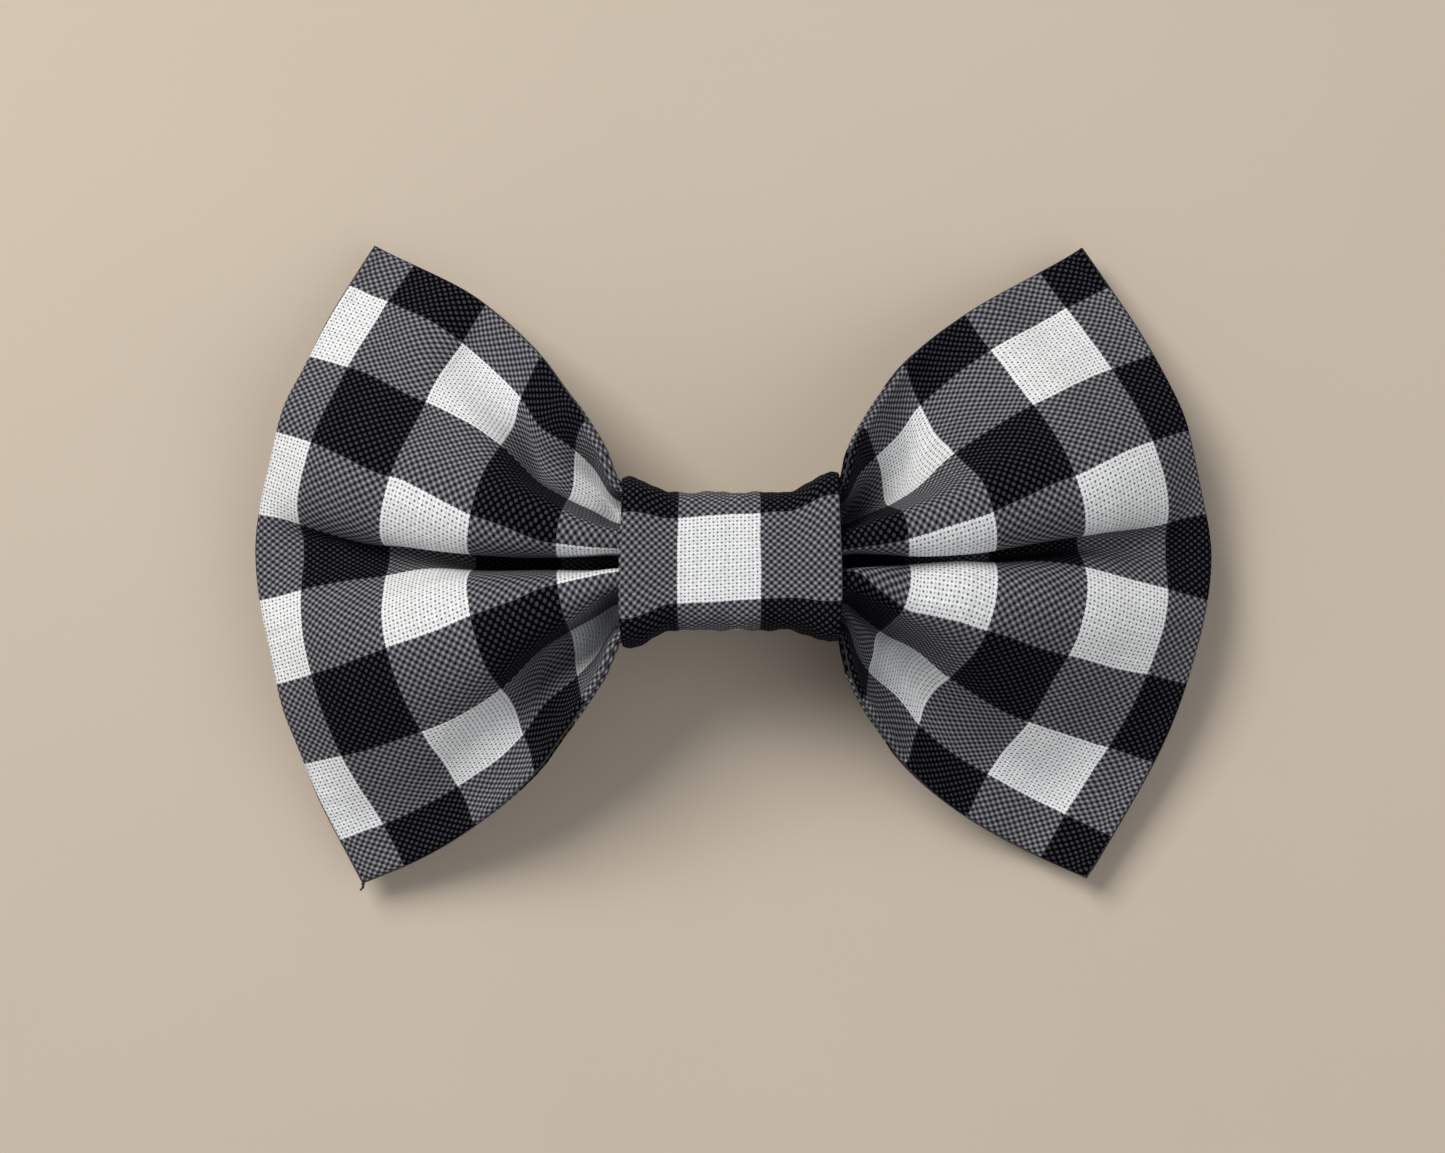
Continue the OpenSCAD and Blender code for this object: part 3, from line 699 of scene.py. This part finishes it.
# seam thread in the groove, with its cut tail at the lower left corner
SEAM_R, TAIL_R, TAIL = 0.085, 0.19, 0.85
groove = np.array([fine[j, i] for i, j in rim_cells(len(fv), len(fu))])[::2]
pts, faces = tube(groove, SEAM_R, 6, closed=True)
corner = fine[0, 0]
away = corner - fine[8, 8]
away /= np.linalg.norm(away)
s = np.linspace(0, 1, 12)[:, None]
curl = np.array([0.16, -0.05, 0.0]) * np.sin(s * 3.0) + np.array([0, 0, -0.25]) * s ** 2
taper = TAIL_R * (1 - 0.35 * s[:, 0]) * (1 + 0.25 * np.sin(s[:, 0] * 14))
tail_pts, tail_faces = tube(corner + away * (s * TAIL) + curl, taper, 8)
faces = faces + [[v + len(pts) for v in f] for f in tail_faces]
seam_uv = np.concatenate([tube_uv(run_length(groove), 6), tube_uv(s[:, 0] * 1.2, 8)])
seam = mesh_object("seam_thread_run", np.concatenate([pts, tail_pts]), faces, seam_uv,
                   thread("black_thread", (0.020, 0.020, 0.024), 0.45))
dress(seam, "seam_thread")

# ------------------------------------------------------------- centre wrap
WAIST, LO, HI, WRAP_X = 6.85, 6.6, 24.3, 11.8   # half height, back, front and half width
INTER, WRAP_T = 0.14, 0.44             # stiffener and folded wrap
SHIFT = -0.35                          # the wrap sits a touch towards the left loop
FLARE, FLARE_UP, FLARE_CROSS, FLARE_DEPTH = 1.71, 0.16, 0.34, 0.5   # how the ends widen
TUCK = 0.35                            # the sides lean in below their upper third
SQUARE = 5                             # power of the section's squared round


def ring(x, a, o):
    """Point of the wrap's cross-section, a degrees round from the middle of the back,
    o outside the stiffener's inner face."""
    c, s = np.sin(np.radians(a)), -np.cos(np.radians(a))
    end = smooth((np.abs(x) - 6.2) / 4.6)
    # the corners are pulled out unevenly
    flare = end * (FLARE + FLARE_UP * c + FLARE_CROSS * c * np.sign(x))
    half_w = WAIST + flare + o - TUCK * smooth((0.45 - s) / 0.6)
    lo, hi = LO - o, HI + FLARE_DEPTH * end + o
    half_d = (hi - lo) / 2
    k = 1 / (np.abs(c) ** SQUARE + np.abs(s) ** SQUARE) ** (1 / SQUARE)
    return np.stack([x + 0 * a, half_w * c * k, lo + half_d + half_d * s * k], -1)


# spread the points evenly along the section; the ends lap at the back
LAP_FROM, LAP_TO, ROUND_STEPS = -24, 396, 300
WRAP_EDGE = (0, 0.03, 0.08, 0.16, 0.27, 0.42, 0.62, 0.9)
degrees = np.linspace(LAP_FROM, LAP_TO, 4000)
section = run_length(ring(np.zeros_like(degrees), degrees, INTER + WRAP_T))
even = np.interp(np.linspace(0, section[-1], ROUND_STEPS), section, degrees)
XX, AA = np.meshgrid(spread(WRAP_X, 0.42, WRAP_EDGE), even, indexing="ij")
from_front = np.interp(AA, degrees, section) - np.interp(180, degrees, section)
LAP_CLIMB, LAP_OVER = 305, 27          # degrees where the top end climbs over the other
lap = (WRAP_T + 0.06) * smooth((AA - LAP_CLIMB) / LAP_OVER)
e_end = WRAP_X - np.abs(XX)
FOLD, FOLD_R = 0.21, 0.3               # the folded ends are round
fold = FOLD * (1 - np.sqrt(np.clip(1 - (1 - np.clip(e_end / FOLD_R, 0, 1)) ** 2, 0, 1)))
# drag lines where the flared corners are pulled, and the cloth's own softness
on_side = smooth((np.abs(from_front) - 4.5) / 3) * (1 - smooth((np.abs(from_front) - 16) / 6))
drag = 0.10 * np.sin((XX * 0.9 + from_front * 0.55) * 1.5) + 0.07 * np.sin(XX * 2.3 - from_front * 0.8)
drag = drag * on_side * smooth(e_end / 1.0)
soft = 0.05 * np.sin(XX * 0.8 + 0.6) * np.cos(from_front * 0.9) + 0.05 * np.exp(-((e_end - 0.8) / 0.5) ** 2)
base = INTER + 0.02
wrap_out = ring(XX, AA, base + WRAP_T + lap - fold + np.maximum(drag + soft, -0.08))
wrap_in = ring(XX, AA, base + lap + fold)
# the wrap's edges are not dead straight
unstraight = 0.16 * np.sin(from_front * 0.33 + 0.8) * (XX / WRAP_X) + SHIFT
wrap_out[..., 0] += unstraight
wrap_in[..., 0] += unstraight
WHITE_AT, SKEW = -3.25, 0.06           # where a white check begins, and how askew the cloth is
wrap_u = XX + WHITE_AT + WRAP_CHECK_U
wrap_v = from_front + WRAP_CHECK_V + SKEW * XX
wrap_uv = np.stack([wrap_u, wrap_v], -1).reshape(-1, 2)
pts, faces = closed_skin(wrap_in, wrap_out)
wrap = mesh_object("centre_wrap_cloth", pts, faces, np.concatenate([wrap_uv, wrap_uv]), wrap_cloth)
dress(wrap, "centre_wrap")

# whip stitches along the lapped end at the back, one thread on the wrap's real surface
STITCH_R, STITCHES, PITCH, FIRST = 0.12, 6, 2.6, -7.5
on_lap, on_wrap = INTER + 2 * WRAP_T + 0.16, INTER + WRAP_T + 0.10
# one stitch over the lap's end: mm along the wrap, degrees round it, height
STITCH = [(0, 32.8, on_lap), (0.1, 36.4, on_lap), (0.65, 39.4, on_wrap),
          (1.3, 39.4, on_wrap), (2.0, 36.4, on_lap)]
route = np.array([(FIRST + PITCH * n + x, a, o) for n in range(STITCHES) for x, a, o in STITCH])
at = np.linspace(0, len(route) - 1, 6 * len(route))
along, angle, height = (np.interp(at, np.arange(len(route)), route[:, c]) for c in range(3))
sewn = ring(along, angle, height) + np.array([SHIFT, 0, 0])
pts, faces = tube(sewn, STITCH_R, 8)
stitches = mesh_object("wrap_stitch_run", pts, faces, tube_uv(run_length(sewn), 8),
                       thread("white_sewing_thread", (0.85, 0.85, 0.82), 0.4))
dress(stitches, "wrap_stitches")

# stiffener under the wrap
xi, ai = np.meshgrid(np.linspace(-WRAP_X + 0.7, WRAP_X - 0.7, 33), np.linspace(6, 351, 120), indexing="ij")
moved = np.array([SHIFT, 0, 0])
pts, faces = closed_skin(ring(xi, ai, 0.0) + moved, ring(xi, ai, INTER) + moved)
stiff = mesh_object("wrap_stiffener", pts, faces, None, felt("stiffener", (0.88, 0.88, 0.85), 1800.0, 0.08))
dress(stiff, "wrap_interfacing")

# ------------------------------------------------------------ torsion spring
# One leg runs out above the coil, for the upper jaw, the other below it, for the lower one.
HINGE_X, HINGE_Z, WIRE_R = 15.6, 5.3, 0.28
COIL_R, COIL_PITCH, TURNS, PER_TURN = 0.98, 0.61, 3.5, 32
LEG_FROM, LEG_TO, LEG_STEPS = 0.5, 6, 10
UPPER_SLOPE, LOWER_SLOPE, LOWER_RISE = 0.06, 0.23, 0.05
side_y = TURNS * COIL_PITCH / 2
turn = np.linspace(0, TURNS, int(TURNS * PER_TURN) + 1)
round_pin = np.radians(90 + 360 * turn)
coil = np.stack([HINGE_X + COIL_R * np.cos(round_pin), -side_y + COIL_PITCH * turn,
                 HINGE_Z + COIL_R * np.sin(round_pin)], -1)
out = np.linspace(LEG_FROM, LEG_TO, LEG_STEPS)
level = np.full(LEG_STEPS, side_y)
upper_leg = np.stack([HINGE_X + out, -level, HINGE_Z + COIL_R + out * UPPER_SLOPE], -1)[::-1]
lower_leg = np.stack([HINGE_X + out, level, HINGE_Z - COIL_R - out * LOWER_SLOPE + LOWER_RISE], -1)
pts, faces = tube(np.concatenate([upper_leg, coil, lower_leg]), WIRE_R, 12)
spring = mesh_object("torsion_spring_wire", pts, faces, None,
                     metal("spring_wire", (0.55, 0.54, 0.53), 0.30, (900.0, 900.0, 900.0)))
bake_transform(spring)
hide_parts("torsion_spring")

# -------------------------------------------------------------- CAD nodes
STEEL = (0.70, 0.69, 0.67)
finishes = {
    "cinch_thread": thread("white_waxed_thread", (0.82, 0.82, 0.79), 0.6, along_uv=False),
    "glue_pad": felt("cloudy_glue", (0.80, 0.77, 0.66), 420.0, 0.10),
    "ribbon_lining": grosgrain("black_grosgrain"),
    "upper_jaw": metal("nickel_upper", STEEL),
    "hinge_pin": metal("pin_steel", (0.62, 0.61, 0.60), 0.32, (2000.0, 60.0, 2000.0)),
    "lower_jaw": metal("nickel_lower", STEEL),
}
for node, finish in finishes.items():
    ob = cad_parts[node]
    if not ob.material_slots:
        ob.data.materials.append(finish)
    for place in ob.material_slots:
        place.material = finish

# ------------------------------------------------------------------- stage
k = Nodes("pale_table")
p = k.place()
clouds, grit = k.noise(p, 9.0, 4.0, 0.6), k.noise(p, 900.0, 3.0, 0.6)
k.set(Base_Color=k.rgb(clouds, (0.555, 0.465, 0.365, 1), (0.61, 0.515, 0.41, 1)),
      Roughness=k.add(0.6, k.mul(grit, 0.2)), Normal=k.bump(grit, 0.05, 0.0001))
TABLE = 1500.0                         # half side, mm
table = [[-TABLE, -TABLE, 0], [TABLE, -TABLE, 0], [TABLE, TABLE, 0], [-TABLE, TABLE, 0]]
floor = mesh_object("table_top", table, [[0, 1, 2, 3]], None, k.mat)

KNOT = (0, 0, 0.01)                    # what the lights are aimed at, m


def area_light(name, loc, size, power, colour):
    li = bpy.data.lights.new(name, "AREA")
    li.shape, li.size, li.energy, li.color = "SQUARE", size, power, colour
    ob = bpy.data.objects.new(name, li)
    bpy.context.scene.collection.objects.link(ob)
    ob.location = loc
    ob.rotation_euler = (Vector(KNOT) - Vector(loc)).to_track_quat("-Z", "Y").to_euler()


area_light("window", (-0.38, 0.40, 0.66), 0.42, 6.0, (1.0, 0.985, 0.96))
area_light("room", (0.55, -0.25, 0.75), 0.9, 2.5, (0.96, 0.98, 1.0))
world = bpy.data.worlds.new("room_light")
world.use_nodes = True
background = world.node_tree.nodes["Background"]
background.inputs["Color"].default_value = (0.92, 0.95, 1.0, 1)
background.inputs["Strength"].default_value = 0.26
bpy.context.scene.world = world
bpy.context.scene.view_settings.view_transform = "Standard"

SENSOR, IMAGE_WIDTH, FOCAL_PIXELS = 36.0, 1445, 4090
TILT, DISTANCE = math.radians(2.0), 0.450
AIM_X, AIM_Y, AIM_Z = -0.0012, -0.0014, 0.012
cam_data = bpy.data.cameras.new("camera")
cam_data.sensor_width = SENSOR
cam_data.lens = SENSOR * FOCAL_PIXELS / IMAGE_WIDTH
cam_data.clip_start = 0.01
cam = bpy.data.objects.new("camera", cam_data)
bpy.context.scene.collection.objects.link(cam)
cam.location = (AIM_X, AIM_Y - DISTANCE * math.sin(TILT), AIM_Z + DISTANCE * math.cos(TILT))
cam.rotation_euler = (TILT, 0, 0)
bpy.context.scene.camera = cam
